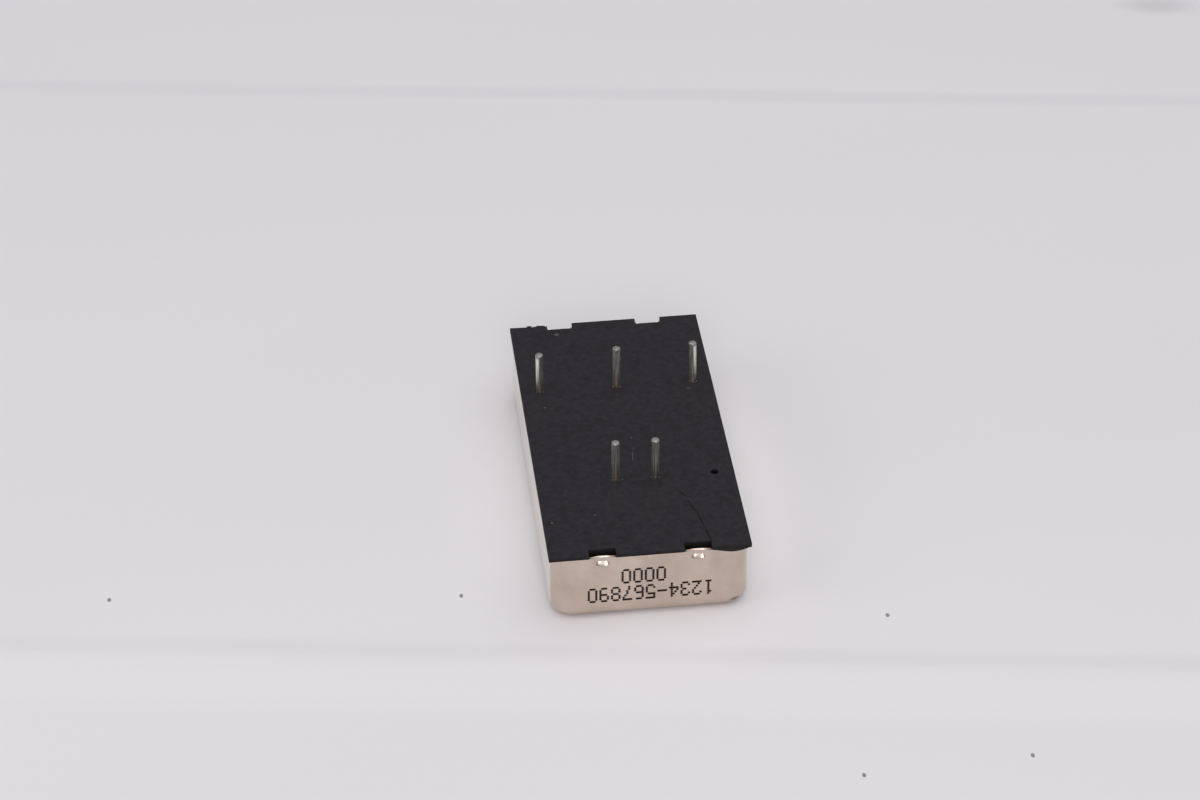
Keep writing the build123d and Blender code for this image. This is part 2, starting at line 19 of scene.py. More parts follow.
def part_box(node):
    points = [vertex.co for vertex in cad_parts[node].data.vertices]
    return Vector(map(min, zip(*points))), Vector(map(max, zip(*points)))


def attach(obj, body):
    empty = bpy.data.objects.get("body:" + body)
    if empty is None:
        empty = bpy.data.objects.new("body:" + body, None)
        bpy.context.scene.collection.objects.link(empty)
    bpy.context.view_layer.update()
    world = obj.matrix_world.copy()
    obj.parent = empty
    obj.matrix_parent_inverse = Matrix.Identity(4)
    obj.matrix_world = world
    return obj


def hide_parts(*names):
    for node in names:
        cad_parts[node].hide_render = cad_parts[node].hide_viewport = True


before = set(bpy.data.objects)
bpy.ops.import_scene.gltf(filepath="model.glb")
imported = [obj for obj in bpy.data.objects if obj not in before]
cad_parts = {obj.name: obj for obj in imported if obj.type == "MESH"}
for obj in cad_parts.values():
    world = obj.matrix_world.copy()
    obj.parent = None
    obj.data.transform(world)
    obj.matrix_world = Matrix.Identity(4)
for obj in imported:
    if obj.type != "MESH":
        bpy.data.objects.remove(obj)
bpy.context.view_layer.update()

# %% [markdown]
# Blender works in metres, and this object is five centimetres long. Lengths are written in millimetres and
# multiplied by `MM`, which keeps them readable. The sizes come from the frame wherever it holds them.

# %% Units and driving sizes
MM = 0.001
TOUCHING = 0.001 * MM  # points closer than this count as one place
case_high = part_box("metal_case")[1]
plate_low, plate_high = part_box("base_plate")
half_width = case_high.x
half_length = case_high.y
rim = case_high.z
face = plate_high.z
skirt_low = plate_low.z
pin_names = [
    "output_pin_positive",
    "output_pin_common",
    "output_pin_negative",
    "input_pin_positive",
    "input_pin_negative",
]
print("case", round(2 * half_width / MM, 2), "x", round(2 * half_length / MM, 2), "rim", round(rim / MM, 2))

# %% [markdown]
# ## The camera
#
# The camera stands in front of the input end, a little to the left, and looks down at about 36 degrees
# through a long lens, so the sides run almost parallel. It is easier to aim a camera by what it looks at
# than by its own position, so the place is worked out from the aim point, the distance and two angles.

# %% Camera
camera_aim = Vector((-1.73, 14.31, 5.0)) * MM
camera_distance = 467.9 * MM
camera_azimuth = math.radians(6.378)
camera_elevation = math.radians(35.79)
camera_roll = math.radians(-0.477)
looking = Vector((
    math.sin(camera_azimuth) * math.cos(camera_elevation),
    math.cos(camera_azimuth) * math.cos(camera_elevation),
    -math.sin(camera_elevation),
))
bpy.ops.object.camera_add(location=camera_aim - looking * camera_distance)
camera = bpy.context.object
camera.name = "camera"
turned = looking.to_track_quat("-Z", "Y").to_matrix() @ Matrix.Rotation(camera_roll, 3, "Z")
camera.rotation_euler = turned.to_euler()
camera.data.sensor_width = 36
camera.data.lens = 104.8
camera.data.clip_start = 0.01
camera.data.dof.use_dof = False
bpy.context.scene.camera = camera
print("camera at", [round(v / MM, 1) for v in camera.location], "mm")

# %% [markdown]
# ## Floor and light
#
# The module lies on a pale, slightly lilac sheet. Most of the light falls from a wide lamp overhead, so that
# the shadow round the case is faint. A second soft lamp stands in front, above the camera: the sloping parts
# of the metal send it back as small bright glints. A third, weak lamp on the left lightens the shadow there,
# and a dim world fills in the rest. The standard view transform keeps the colours as they are mixed.

# %% Floor, world and lamps
bpy.context.scene.view_settings.view_transform = "Standard"

bpy.ops.mesh.primitive_plane_add(size=3.0, location=(0, 0, 0))
floor = bpy.context.object
floor.name = "floor"

world = bpy.data.worlds.new("soft_room")
bpy.context.scene.world = world
world.use_nodes = True
background = world.node_tree.nodes["Background"]
background.inputs["Color"].default_value = (0.95, 0.94, 0.97, 1)
background.inputs["Strength"].default_value = 0.40


def soft_lamp(name, place, size, energy, colour):
    """A round area lamp turned towards the middle of the floor."""
    bpy.ops.object.light_add(type="AREA", location=place)
    lamp = bpy.context.object
    lamp.name = name
    lamp.data.shape = "DISK"
    lamp.data.size = size
    lamp.data.energy = energy
    lamp.data.color = colour
    lamp.rotation_euler = (-lamp.location).to_track_quat("-Z", "Y").to_euler()


soft_lamp("overhead_lamp", (0.14, 0.02, 0.95), 1.4, 5.3, (1.0, 0.985, 0.985))
soft_lamp("front_lamp", (-0.10, -0.95, 0.60), 0.55, 4.3, (1.0, 0.985, 0.97))
soft_lamp("side_lamp", (-0.60, -0.15, 0.40), 0.5, 0.8, (0.99, 0.99, 1.0))
print("floor and lamps ready")

# %% [markdown]
# ## Helpers for working by selection
#
# An operator acts on whatever is selected. These helpers pick faces or edges by where they are, which is
# what a modeller does with a box select, and leave the piece in edit mode for the next operator.


# %% Selection helpers
def clear_selection():
    """Nothing selected and no object being edited."""
    if bpy.context.object and bpy.context.object.mode != "OBJECT":
        bpy.ops.object.mode_set(mode="OBJECT")
    bpy.ops.object.select_all(action="DESELECT")


def only(piece):
    """Select one piece and make it active."""
    clear_selection()
    piece.select_set(True)
    bpy.context.view_layer.objects.active = piece


def pick_faces(piece, wanted):
    """Go to edit mode with just the faces whose centre and normal pass the test."""
    only(piece)
    bpy.ops.object.mode_set(mode="EDIT")
    bpy.ops.mesh.select_mode(type="FACE")
    bpy.ops.mesh.select_all(action="DESELECT")
    bpy.ops.object.mode_set(mode="OBJECT")
    for polygon in piece.data.polygons:
        polygon.select = bool(wanted(polygon.center, polygon.normal))
    bpy.ops.object.mode_set(mode="EDIT")


def pick_edges(piece, wanted):
    """Go to edit mode with just the edges whose two ends pass the test."""
    only(piece)
    bpy.ops.object.mode_set(mode="EDIT")
    bpy.ops.mesh.select_mode(type="EDGE")
    bpy.ops.mesh.select_all(action="DESELECT")
    bpy.ops.object.mode_set(mode="OBJECT")
    points = piece.data.vertices
    for edge in piece.data.edges:
        edge.select = bool(wanted(*[points[index].co for index in edge.vertices]))
    bpy.ops.object.mode_set(mode="EDIT")


print("selection helpers ready")


# %% Mesh helpers
def upright(start, end):
    """True for an edge that stands straight up."""
    return (start.xy - end.xy).length < TOUCHING


def apply_modifiers(piece):
    """Turn every modifier of a piece into mesh, from the top down."""
    only(piece)
    for modifier in list(piece.modifiers):
        bpy.ops.object.modifier_apply(modifier=modifier.name)


def new_cube(name, low, high):
    """A cube between two corners, with its place in its mesh."""
    clear_selection()
    low, high = Vector(low), Vector(high)
    bpy.ops.mesh.primitive_cube_add(size=1, location=(low + high) / 2)
    cube = bpy.context.object
    cube.name = name
    cube.scale = high - low
    bpy.ops.object.transform_apply(location=True, rotation=True, scale=True)
    return cube


def smooth(piece, degrees):
    """Smooth shading that keeps edges sharper than an angle."""
    only(piece)
    bpy.ops.object.shade_smooth_by_angle(angle=math.radians(degrees))


def settle(piece, slot, *replaced):
    """Hand a finished piece to the frame: its body and the CAD nodes it stands for. The slot is not used."""
    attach(piece, "root")
    if replaced:
        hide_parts(*replaced)
    print(piece.name, len(piece.data.polygons), "faces")


print("mesh helpers ready")

# %% [markdown]
# ## The metal case
#
# A drawn case has no sharp outside edges: the punch leaves a wide radius up the corners and a tighter one
# round the roof. A cube without a lid is bevelled twice, first along the four uprights and then round the
# loop of the bottom face, so that the second roll runs smoothly through the first. The wall gets its
# thickness last, after the latch dents are pressed, because then the inside follows every dent, as sheet
# metal does.

# %% Case: the drawn shell
upright_radius = 3.0 * MM
roof_radius = 1.8 * MM
case_inset = 0.08 * MM  # the case stands just inside the plate's outline
wall_x = half_width - case_inset
wall_y = half_length - case_inset
case = new_cube("case_shell", (-wall_x, -wall_y, 0), (wall_x, wall_y, rim))
pick_faces(case, lambda centre, normal: normal.z > 0.5)
bpy.ops.mesh.delete(type="FACE")
bpy.ops.object.mode_set(mode="OBJECT")
pick_edges(case, upright)
bpy.ops.mesh.bevel(offset=upright_radius, segments=14, affect="EDGES", clamp_overlap=False)
pick_faces(case, lambda centre, normal: normal.z < -0.5)
bpy.ops.mesh.region_to_loop()
bpy.ops.mesh.bevel(offset=roof_radius, segments=10, affect="EDGES", clamp_overlap=False)
bpy.ops.object.mode_set(mode="OBJECT")
print("case shell", len(case.data.polygons), "faces")

# %% [markdown]
# ### The latch dents
#
# The plate is held by four dents. A punch presses each end wall inwards over a ledge of the plate, just under
# the rim. The rim bows in with it, and the punch leaves a short pocket, steep at the top and sloping at the
# bottom. The wall is cut round each dent and only that patch is divided finely, so the rest stays light.

# %% Case: cutting patches for the dents
latch_x = 6.0 * MM
patch_half = 2.3 * MM
patch_drop = 2.2 * MM
patch_cuts = 55


def is_end_wall(centre, normal):
    """True for the flat faces at the two short ends."""
    return abs(normal.y) > 0.999


def cut_end_walls(place, normal):
    """Cut the end walls along a plane."""
    pick_faces(case, is_end_wall)
    bpy.ops.mesh.bisect(plane_co=place, plane_no=normal)


for x in (-latch_x - patch_half, -latch_x + patch_half, latch_x - patch_half, latch_x + patch_half):
    cut_end_walls((x, 0, 0), (1, 0, 0))
cut_end_walls((0, 0, rim - patch_drop), (0, 0, 1))

pick_faces(case, lambda centre, normal: is_end_wall(centre, normal)
           and centre.z > rim - patch_drop
           and abs(abs(centre.x) - latch_x) < patch_half)
bpy.ops.mesh.subdivide(number_cuts=patch_cuts)
bpy.ops.object.mode_set(mode="OBJECT")
print("with patches", len(case.data.polygons), "faces")

# %% Case: pressing the dents
bow_depth = 0.34 * MM
bow_reach = 1.2 * MM
pocket_depth = 0.20 * MM
pocket_half = 0.98 * MM
pocket_top = 0.50 * MM  # below the rim, at the middle of the dent
pocket_arch = 0.32 * MM  # how much lower the pocket starts at its sides
pocket_steep = 0.14 * MM
pocket_end = 1.37 * MM
pocket_side = 0.45  # share of its half width in which the pocket's side runs out
rim_round = 0.16 * MM


def ease(value):
    """0 to 1 with a soft start and end."""
    value = min(max(value, 0.0), 1.0)
    return value * value * (3 - 2 * value)


def dent_depth(across, drop):
    """How far the wall is pressed in, from the distance across and the drop below the rim."""
    near_middle = math.exp(-(across / bow_reach) ** 4)
    bow = bow_depth * near_middle * ease(1 - drop / patch_drop) ** 1.5
    bow += near_middle * (rim_round - math.sqrt(rim_round ** 2 - max(rim_round - drop, 0.0) ** 2))
    off_middle = min(across / pocket_half, 1.0)
    side = ease((1 - off_middle) / pocket_side)
    start = pocket_top + pocket_arch * off_middle ** 2
    full = start + pocket_steep
    end = pocket_end - pocket_arch * off_middle ** 2
    steep = ease((drop - start) / pocket_steep)
    slope = min(max((end - drop) / (end - full), 0.0), 1.0)
    return bow + pocket_depth * side * steep * slope


def press_dents(piece):
    """Move the wall's points inwards round the four latches."""
    for vertex in piece.data.vertices:
        across = abs(abs(vertex.co.x) - latch_x)
        drop = rim - vertex.co.z
        if abs(abs(vertex.co.y) - wall_y) < TOUCHING and across <= patch_half and drop <= patch_drop:
            vertex.co.y -= math.copysign(dent_depth(across, drop), vertex.co.y)


press_dents(case)
print("dents pressed, deepest", round(dent_depth(0, pocket_top + pocket_steep) / MM, 2), "mm")

# %% Case: wall thickness and edges
case_wall = 0.5 * MM
case_edge = 0.12 * MM
wall = case.modifiers.new("wall", "SOLIDIFY")
wall.thickness = case_wall
wall.offset = -1
wall.use_even_offset = True
edges = case.modifiers.new("edges", "BEVEL")
edges.limit_method = "ANGLE"
edges.angle_limit = math.radians(60)
edges.width = case_edge
edges.segments = 3
apply_modifiers(case)
smooth(case, 50)
evenness = case.modifiers.new("evenness", "WEIGHTED_NORMAL")
evenness.keep_sharp = True
apply_modifiers(case)
settle(case, "nickel_plate", "metal_case")

# %% [markdown]
# ## The base plate
#
# The plate is one moulding: a thin flange that covers the rim, a plug that fits inside the case, and a skirt
# that reaches down to the circuit board. It starts as the flange. Inset and extrude on its underside make the
# plug and then the hollow of the skirt. The notches and holes go right through, so they are cut with a
# boolean, and one narrow bevel then takes the sharpness off every edge at once.

# %% Plate: flange, plug and skirt
plug_gap = 0.1 * MM
skirt_side = 1.0 * MM
skirt_end = 1.2 * MM
plate_underside = 8.96 * MM
plug_corner = upright_radius - case_wall - plug_gap
plug_half_width = half_width - case_wall - plug_gap
plate = new_cube("plate_moulding", (-half_width, -half_length, rim), (half_width, half_length, face))
pick_faces(plate, lambda centre, normal: normal.z < -0.5)
bpy.ops.mesh.inset(thickness=case_wall + plug_gap)
bpy.ops.mesh.extrude_region_move(TRANSFORM_OT_translate={"value": (0, 0, skirt_low - rim)})
pick_edges(plate, lambda start, end: upright(start, end)
           and abs(abs(start.x) - plug_half_width) < 10 * TOUCHING)
bpy.ops.mesh.bevel(offset=plug_corner, segments=10, affect="EDGES", clamp_overlap=False)
pick_faces(plate, lambda centre, normal: normal.z < -0.5 and centre.z < rim - 1 * MM)
bpy.ops.mesh.inset(thickness=skirt_side)
inside_length = 2 * (half_length - case_wall - plug_gap - skirt_end)
bpy.ops.transform.resize(value=(1, inside_length / (inside_length + 2 * (skirt_end - skirt_side)), 1))
bpy.ops.mesh.extrude_region_move(TRANSFORM_OT_translate={"value": (0, 0, plate_underside - skirt_low)})
bpy.ops.object.mode_set(mode="OBJECT")
print("plate", len(plate.data.polygons), "faces")

# %% Plate: cutters for the notches and holes
notch_width = 3.4 * MM
notch_depth = 1.2 * MM
ledge_top = 7.75 * MM
pin_hole_radius = 0.6 * MM
control_hole_radius = 0.52 * MM
over = 0.5 * MM  # how far a cutter runs past what it cuts
round_sides = 40
control_hole = Vector((10.16, -10.16, 0)) * MM


def pin_place(node):
    """Where a pin's axis meets the floor."""
    low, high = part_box(node)
    return Vector(((low.x + high.x) / 2, (low.y + high.y) / 2, 0))


def hole_cutter(place, radius):
    """A round cutter through the plate."""
    clear_selection()
    middle = Vector((place.x, place.y, (plate_underside + face) / 2))
    bpy.ops.mesh.primitive_cylinder_add(
        vertices=round_sides, radius=radius, depth=face - plate_underside + 2 * over, location=middle
    )
    return bpy.context.object


cutters = [hole_cutter(pin_place(name), pin_hole_radius) for name in pin_names]
cutters.append(hole_cutter(control_hole, control_hole_radius))
for end in (-1, 1):
    for x in (-latch_x, latch_x):
        middle = end * half_length
        cutters.append(new_cube(
            "notch_cutter",
            (x - notch_width / 2, middle - notch_depth, ledge_top),
            (x + notch_width / 2, middle + notch_depth, face + over),
        ))

print(len(cutters), "cutters for holes and notches")

# %% Plate: worn edge and cutting
# the far left edge is a little worn: shallow bites, each a place, width and depth in millimetres and a turn
worn_bites = [(-11.7, 2.6, 0.22, -2), (-9.45, 0.7, 0.26, 9), (-8.6, 1.0, 0.10, -5), (-7.75, 0.7, 0.22, 38)]
for x, width, depth, turn in worn_bites:
    bite = new_cube("bite", (-width / 2 * MM, -depth * MM, rim - over), (width / 2 * MM, 1 * MM, face + over))
    bite.rotation_euler.z = math.radians(turn)
    bite.location = (x * MM, half_length, 0)
    bpy.ops.object.transform_apply(location=True, rotation=True, scale=True)
    cutters.append(bite)
clear_selection()
for cutter in cutters:
    cutter.select_set(True)
bpy.context.view_layer.objects.active = cutters[0]
bpy.ops.object.join()
cutter = bpy.context.object
bpy.ops.object.transform_apply(location=True, rotation=True, scale=True)
cut = plate.modifiers.new("cut", "BOOLEAN")
cut.operation = "DIFFERENCE"
cut.solver = "EXACT"
cut.use_self = True
cut.object = cutter
apply_modifiers(plate)
bpy.data.objects.remove(cutter)
print("plate after cutting", len(plate.data.polygons), "faces")

# %% Plate: soft edges
plate_edge = 0.05 * MM
softness = plate.modifiers.new("softness", "BEVEL")
softness.limit_method = "ANGLE"
softness.angle_limit = math.radians(40)
softness.width = plate_edge
softness.segments = 2
softness.use_clamp_overlap = True
apply_modifiers(plate)
for vertex in plate.data.vertices:
    vertex.co.x = min(max(vertex.co.x, -half_width), half_width)
    vertex.co.y = min(max(vertex.co.y, -half_length), half_length)
smooth(plate, 40)
evenness = plate.modifiers.new("evenness", "WEIGHTED_NORMAL")
evenness.keep_sharp = True
apply_modifiers(plate)
settle(plate, "black_moulding", "base_plate")

# %% [markdown]
# ## The pins
#
# Each pin is turned from brass wire and then tinned: a thin tail in the board, a shoulder under the plate,
# and a straight round stretch with a domed end. One ring of points is extruded upwards and resized at each
# step, which is how a lathe profile is made by hand. The finished pin is copied to each place, with a mesh
# of its own.

# %% Pins: one pin, ring by ring
pin_low, pin_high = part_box("output_pin_common")
pin_radius = 0.5 * MM
head_radius = 0.515 * MM
tail_radius = 0.34 * MM
shoulder_radius = 0.7 * MM
grip_radius = 0.54 * MM  # the stretch that the plate holds
grip_top = face - 0.1 * MM
dome = 0.20 * MM
rings = [
    (pin_low.z, tail_radius),
    (skirt_low, tail_radius),
    (skirt_low, shoulder_radius),
    (plate_underside, shoulder_radius),
    (plate_underside, grip_radius),
    (grip_top, grip_radius),
    (grip_top, pin_radius),
    (pin_high.z - 2.2 * dome, pin_radius),
    (pin_high.z - 1.4 * dome, head_radius),
    (pin_high.z - dome, head_radius),
    (pin_high.z - 0.62 * dome, 0.49 * MM),
    (pin_high.z - 0.28 * dome, 0.42 * MM),
    (pin_high.z - 0.10 * dome, 0.30 * MM),
    (pin_high.z, 0.15 * MM),
]

clear_selection()
start = pin_place("output_pin_common")
bpy.ops.mesh.primitive_circle_add(
    vertices=round_sides, radius=rings[0][1], fill_type="NGON", location=(start.x, start.y, rings[0][0])
)
first_pin = bpy.context.object
bpy.ops.object.mode_set(mode="EDIT")
for (low, low_radius), (high, high_radius) in zip(rings, rings[1:]):
    bpy.ops.mesh.extrude_region_move(TRANSFORM_OT_translate={"value": (0, 0, high - low)})
    share = high_radius / low_radius
    bpy.ops.transform.resize(value=(share, share, 1))
bpy.ops.mesh.select_all(action="SELECT")
bpy.ops.mesh.normals_make_consistent(inside=False)
bpy.ops.object.mode_set(mode="OBJECT")
bpy.ops.object.transform_apply(location=True, rotation=True, scale=True)
smooth(first_pin, 40)
print("one pin", len(first_pin.data.polygons), "faces")

# %% [markdown]
# The pins are pushed into the plate by hand tools and never stand quite straight: two of the far ones lean
# back by a few degrees. Only the stretch above the plate is turned, about the point where it comes out.

# %% Pins: a copy at each place
pin_lean = {  # degrees back and to the right
    "output_pin_common": (4.0, 0.8),
    "output_pin_negative": (4.0, 0.0),
    "output_pin_positive": (1.0, 0.0),
}
lean_shrink = 0.998  # keeps a leaning pin's tip no higher than an upright one's
leaning_above = face - 0.05 * MM
pin_pieces = []


def lean_back(pin, place, back, right):
    """Turn the part of a pin above the plate by two small angles."""
    for angle, axis in ((-back, "X"), (right, "Y")):
        if angle:
            turn = Matrix.Rotation(math.radians(angle), 3, axis)
            foot = Vector((place.x, place.y, face))
            for vertex in pin.data.vertices:
                if vertex.co.z > leaning_above:
                    vertex.co = foot + lean_shrink * (turn @ (vertex.co - foot))


for name in pin_names:
    only(first_pin)
    bpy.ops.object.duplicate()
    pin = bpy.context.object
    pin.name = name.replace("_pin_", "_terminal_")
    pin.location = pin_place(name) - start
    bpy.ops.object.transform_apply(location=True, rotation=True, scale=True)
    if name in pin_lean:
        lean_back(pin, pin_place(name), *pin_lean[name])
    pin_pieces.append(pin)
    settle(pin, "tinned_pin", name)
bpy.data.objects.remove(first_pin)

# %% [markdown]
# ## The printed marks
#
# The real case carries two short lines of ink-jet dots on one end wall, printed the right way up for a
# module that stands on its pins, so here they are upside down. Plain digits stand in for them. Each digit is
# a five by seven grid of dots, and each dot a very flat disc lying on the wall.

# %% Marks: digits as dots
digit_dots = {
    "0": ".###. #...# #...# #...# #...# #...# .###.",
    "1": "..#.. .##.. ..#.. ..#.. ..#.. ..#.. .###.",
    "2": ".###. #...# ....# ...#. ..#.. .#... #####",
    "3": ".###. #...# ....# ..##. ....# #...# .###.",
    "4": "...#. ..##. .#.#. #..#. ##### ...#. ...#.",
    "5": "##### #.... ####. ....# ....# #...# .###.",
    "6": ".###. #.... #.... ####. #...# #...# .###.",
    "7": "##### ....# ...#. ..#.. ..#.. .#... .#...",
    "8": ".###. #...# #...# .###. #...# #...# .###.",
    "9": ".###. #...# #...# .#### ....# ....# .###.",
    "-": "..... ..... ..... ##### ..... ..... .....",
}
digit_pitch = 1.46 * MM
dot_step_across = 0.235 * MM
dot_step_up = 0.33 * MM
dot_radius = 0.175 * MM
dot_height = 0.010 * MM
printed_lines = [("1234-567890", 3.7 * MM, 0.0), ("0000", 6.4 * MM, -0.85 * MM)]
print(len(printed_lines), "lines to print")

# %% Marks: placing the dots
clear_selection()
bpy.ops.mesh.primitive_cylinder_add(
    vertices=10, radius=dot_radius, depth=dot_height, rotation=(math.pi / 2, 0, 0)
)
first_dot = bpy.context.object
bpy.ops.object.transform_apply(location=True, rotation=True, scale=True)

dots = []
for text, line_height, line_middle in printed_lines:
    for place, letter in enumerate(text):
        middle = line_middle - (place - (len(text) - 1) / 2) * digit_pitch
        for row, cells in enumerate(digit_dots[letter].split()):
            for column, cell in enumerate(cells):
                if cell == "#":
                    dot = first_dot.copy()
                    dot.data = first_dot.data.copy()
                    bpy.context.scene.collection.objects.link(dot)
                    dot.location = (
                        middle - (column - 2) * dot_step_across,
                        -wall_y,
                        line_height + (row - 3) * dot_step_up,
                    )
                    dots.append(dot)
bpy.data.objects.remove(first_dot)
clear_selection()
for dot in dots:
    dot.select_set(True)
bpy.context.view_layer.objects.active = dots[0]
bpy.ops.object.join()
marks = bpy.context.object
marks.name = "printed_marks"
bpy.ops.object.transform_apply(location=True, rotation=True, scale=True)
settle(marks, "black_moulding")

# %% [markdown]
# ## Filler under the flange
#
# A thin black lens hangs under the flange at the input end, near one corner, and follows the case round the
# corner. A long block is sliced across, and then each slice is set to the wall behind it and to the lens's
# depth below it.

# %% Dark lens under the flange
bead_start, bead_stop = 7.9 * MM, 12.4 * MM
bead_drop = 0.46 * MM
bead_slices = 24
bead_rounding = 0.03 * MM
hidden_behind = 0.05 * MM  # how far the bead's back reaches into the wall
hair = 0.01 * MM
bead_front = -half_length + 0.012 * MM


def wall_behind(x):
    """The case's outside at the input end, round the corner too."""
    past_corner = max(x - (wall_x - upright_radius), 0.0)
    rounding = upright_radius - math.sqrt(max(upright_radius ** 2 - past_corner ** 2, 0.0))
    return -wall_y + rounding


dark_lens = new_cube(
    "under_flange_lens",
    (bead_start, -half_length, rim - bead_drop),
    (bead_stop, -wall_y, rim - hair),
)
for step in range(1, bead_slices):
    only(dark_lens)
    bpy.ops.object.mode_set(mode="EDIT")
    bpy.ops.mesh.select_all(action="SELECT")
    slice_x = bead_start + (bead_stop - bead_start) * step / bead_slices
    bpy.ops.mesh.bisect(plane_co=(slice_x, 0, 0), plane_no=(1, 0, 0))
bpy.ops.object.mode_set(mode="OBJECT")
for vertex in dark_lens.data.vertices:
    along = min(max((vertex.co.x - bead_start) / (bead_stop - bead_start), 0.0), 1.0)
    if vertex.co.y > -half_length + hair:
        vertex.co.y = wall_behind(vertex.co.x) + hidden_behind
    else:
        vertex.co.y = bead_front
    if vertex.co.z < rim - bead_drop / 2:
        vertex.co.z = rim - 2 * hair - bead_drop * math.sin(math.pi * along ** 1.25)
rounded = dark_lens.modifiers.new("rounded", "BEVEL")
rounded.limit_method = "ANGLE"
rounded.angle_limit = math.radians(50)
rounded.width = bead_rounding
rounded.segments = 2
apply_modifiers(dark_lens)
smooth(dark_lens, 60)
settle(dark_lens, "black_potting")

# %% [markdown]
# ## Finishes
#
# Every material is built from nodes that read the object's own coordinates, in metres, so a speck of a tenth
# of a millimetre stays that size on every piece. A small set of helpers makes the usual parts: a noise at a
# given size, a ramp that turns it into colour, an oval mask for a mark at a known place, and a bump.


# %% Material helpers: material, node and link
def new_material(name, roughness, metallic=0.0, specular=0.5):
    """A material with its shader, ready for patterns."""
    material = bpy.data.materials.new(name)
    material.use_nodes = True
    shader = material.node_tree.nodes["Principled BSDF"]
    shader.inputs["Roughness"].default_value = roughness
    shader.inputs["Metallic"].default_value = metallic
    shader.inputs["Specular IOR Level"].default_value = specular
    return material, shader


def add_node(material, kind, **values):
    """A node with some of its inputs set by name."""
    node = material.node_tree.nodes.new(kind)
    for name, value in values.items():
        node.inputs[name.replace("_", " ").title()].default_value = value
    return node


def join(material, source, target):
    """Connect an output to an input."""
    material.node_tree.links.new(source, target)


print("node helpers ready")


# %% Material helpers: patterns and colours
def coordinates(material, stretch=(1, 1, 1)):
    """The piece's own coordinates, stretched."""
    source = add_node(material, "ShaderNodeTexCoord")
    mapping = add_node(material, "ShaderNodeMapping", scale=stretch)
    join(material, source.outputs["Object"], mapping.inputs["Vector"])
    return mapping.outputs["Vector"]


def noise(material, size, detail=3.0, stretch=(1, 1, 1)):
    """Soft irregular noise whose blobs are about this size."""
    node = add_node(material, "ShaderNodeTexNoise", scale=1 / size, detail=detail)
    join(material, coordinates(material, stretch), node.inputs["Vector"])
    return node.outputs["Fac"]


def ramp(material, factor, stops):
    """Colours along a factor, as (position, colour) pairs."""
    node = material.node_tree.nodes.new("ShaderNodeValToRGB")
    while len(node.color_ramp.elements) < len(stops):
        node.color_ramp.elements.new(0.5)
    for element, (position, colour) in zip(node.color_ramp.elements, stops):
        element.position = position
        element.color = (*colour, 1)
    join(material, factor, node.inputs["Fac"])
    return node.outputs["Color"]


print("pattern helpers ready")


# %% Material helpers: mixing
def levels(material, factor, low, high, start=0.0, stop=1.0, blending="LINEAR"):
    """A factor between start and stop, spread between two values."""
    node = material.node_tree.nodes.new("ShaderNodeMapRange")
    node.interpolation_type = blending
    for name, value in {"From Min": start, "From Max": stop, "To Min": low, "To Max": high}.items():
        node.inputs[name].default_value = value
    join(material, factor, node.inputs["Value"])
    return node.outputs["Result"]


def blend(material, factor, under, over):
    """One colour laid over another where the factor is 1. A plain tuple is taken as a colour."""
    node = material.node_tree.nodes.new("ShaderNodeMix")
    node.data_type = "RGBA"
    join(material, factor, node.inputs["Factor"])
    for index, colour in ((6, under), (7, over)):
        if isinstance(colour, tuple):
            node.inputs[index].default_value = (*colour, 1)
        else:
            join(material, colour, node.inputs[index])
    return node.outputs[2]


def arithmetic(material, operation, first, second):
    """Two factors, or a factor and a number, put together."""
    node = material.node_tree.nodes.new("ShaderNodeMath")
    node.operation = operation
    join(material, first, node.inputs[0])
    if isinstance(second, (int, float)):
        node.inputs[1].default_value = second
    else:
        join(material, second, node.inputs[1])
    return node.outputs[0]


print("mixing helpers ready")


# %% Material helpers: masks and relief
def patch(material, centre, radii, turn=0.0, ragged=0.0, edge=0.4):
    """1 inside an oval at a place on the piece, 0 outside it. The edge can be ragged."""
    source = add_node(material, "ShaderNodeTexCoord")
    mapping = material.node_tree.nodes.new("ShaderNodeMapping")
    mapping.vector_type = "TEXTURE"
    mapping.inputs["Location"].default_value = Vector(centre) * MM
    mapping.inputs["Scale"].default_value = Vector(radii) * MM
    mapping.inputs["Rotation"].default_value = (0, 0, math.radians(turn))
    length = material.node_tree.nodes.new("ShaderNodeVectorMath")
    length.operation = "LENGTH"
    join(material, source.outputs["Object"], mapping.inputs["Vector"])
    join(material, mapping.outputs["Vector"], length.inputs[0])
    reach = length.outputs["Value"]
    if ragged:
        grain = levels(material, noise(material, 0.3 * min(radii) * MM, 4.0), -ragged, ragged)
        reach = arithmetic(material, "ADD", reach, grain)
    return levels(material, reach, 1.0, 0.0, 1.0 - edge, 1.0, "SMOOTHERSTEP")


def bump(material, shader, height, distance, strength=1.0):
    """Fine relief: the height pattern stands this far out of the surface."""
    node = add_node(material, "ShaderNodeBump", strength=strength, distance=distance)
    join(material, height, node.inputs["Height"])
    join(material, node.outputs["Normal"], shader.inputs["Normal"])


def height_band(material, start, stop):
    """0 at one height in millimetres, rising to 1 at the other, which may be the lower one."""
    source = add_node(material, "ShaderNodeTexCoord")
    split = material.node_tree.nodes.new("ShaderNodeSeparateXYZ")
    join(material, source.outputs["Object"], split.inputs["Vector"])
    return levels(material, split.outputs["Z"], 0.0, 1.0, start * MM, stop * MM)


print("mask helpers ready")
